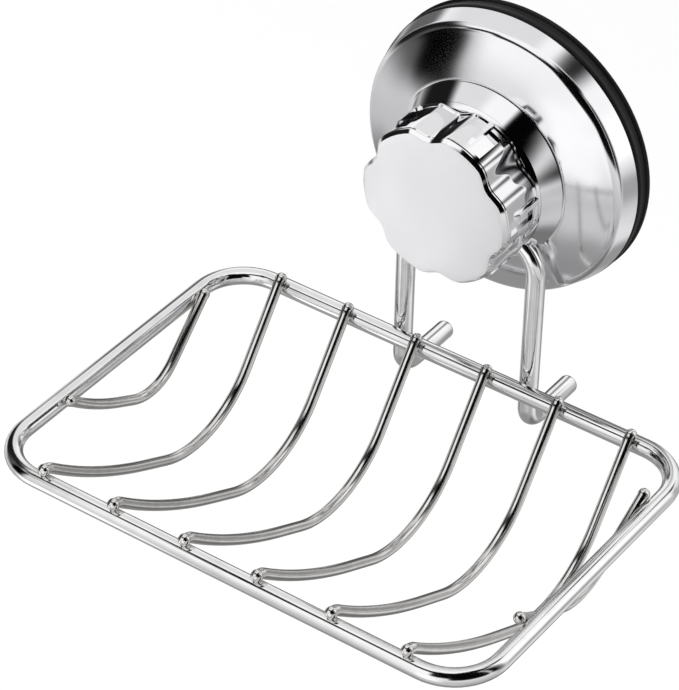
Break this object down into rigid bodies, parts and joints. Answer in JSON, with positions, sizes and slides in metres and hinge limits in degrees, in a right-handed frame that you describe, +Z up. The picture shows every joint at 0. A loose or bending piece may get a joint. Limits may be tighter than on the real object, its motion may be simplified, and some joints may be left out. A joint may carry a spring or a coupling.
{
  "type": "suction soap dish",
  "caption": "Wire soap basket hung on a screw-tightened suction cup; turning the lobed knob draws the pad's centre away from the wall.",
  "frame": {"origin": "centre of the suction pad's sealing face, on the wall plane", "axes": "+Y into the wall along the hub's axis, +X to the right along the basket's long side and +Z up, seen from the front"},
  "size_m": [0.1394, 0.1219, 0.119],
  "materials": {
    "rubber": "satin black",
    "stud_steel": "zinc plated",
    "frame_plastic": "moulded, hidden",
    "shell_chrome": "mirror",
    "collar_chrome": "mirror",
    "washer_plastic": "plain, hidden",
    "knob_chrome": "mirror",
    "cap_chrome": "bright flat face",
    "nut_brass": "turned",
    "hanger_steel": "polished",
    "rail_steel": "polished",
    "wire_steel": "polished"
  },
  "bodies": {
    "dish": {"suction_pad": "rubber", "pressure_frame": "frame_plastic", "shell_cover": "shell_chrome", "neck_collar": "collar_chrome", "thrust_washer": "washer_plastic", "hanger_wire": "hanger_steel", "rim_rail": "rail_steel", "cross_wire_1": "wire_steel", "cross_wire_2": "wire_steel", "cross_wire_3": "wire_steel", "cross_wire_4": "wire_steel", "cross_wire_5": "wire_steel", "cross_wire_6": "wire_steel", "side_wire_left": "wire_steel", "side_wire_right": "wire_steel"},
    "knob": {"knob_body": "knob_chrome", "knob_face": "cap_chrome", "nut_insert": "nut_brass"},
    "stud": {"pad_stud": "stud_steel"}
  },
  "joints": [
    {"name": "knob_turn", "type": "hinge", "parent": "dish", "child": "knob", "pos_m": [0, -0.03, 0], "axis": [0, 1, 0], "range_deg": [0, 540]},
    {"name": "stud_draw", "type": "slide", "parent": "dish", "child": "stud", "axis": [0, -1, 0], "range_m": [0, 0.0031]}
  ],
  "couplings": [
    {"joint": "stud_draw", "follows": "knob_turn", "m_per_rad": 0.00031831}
  ]
}
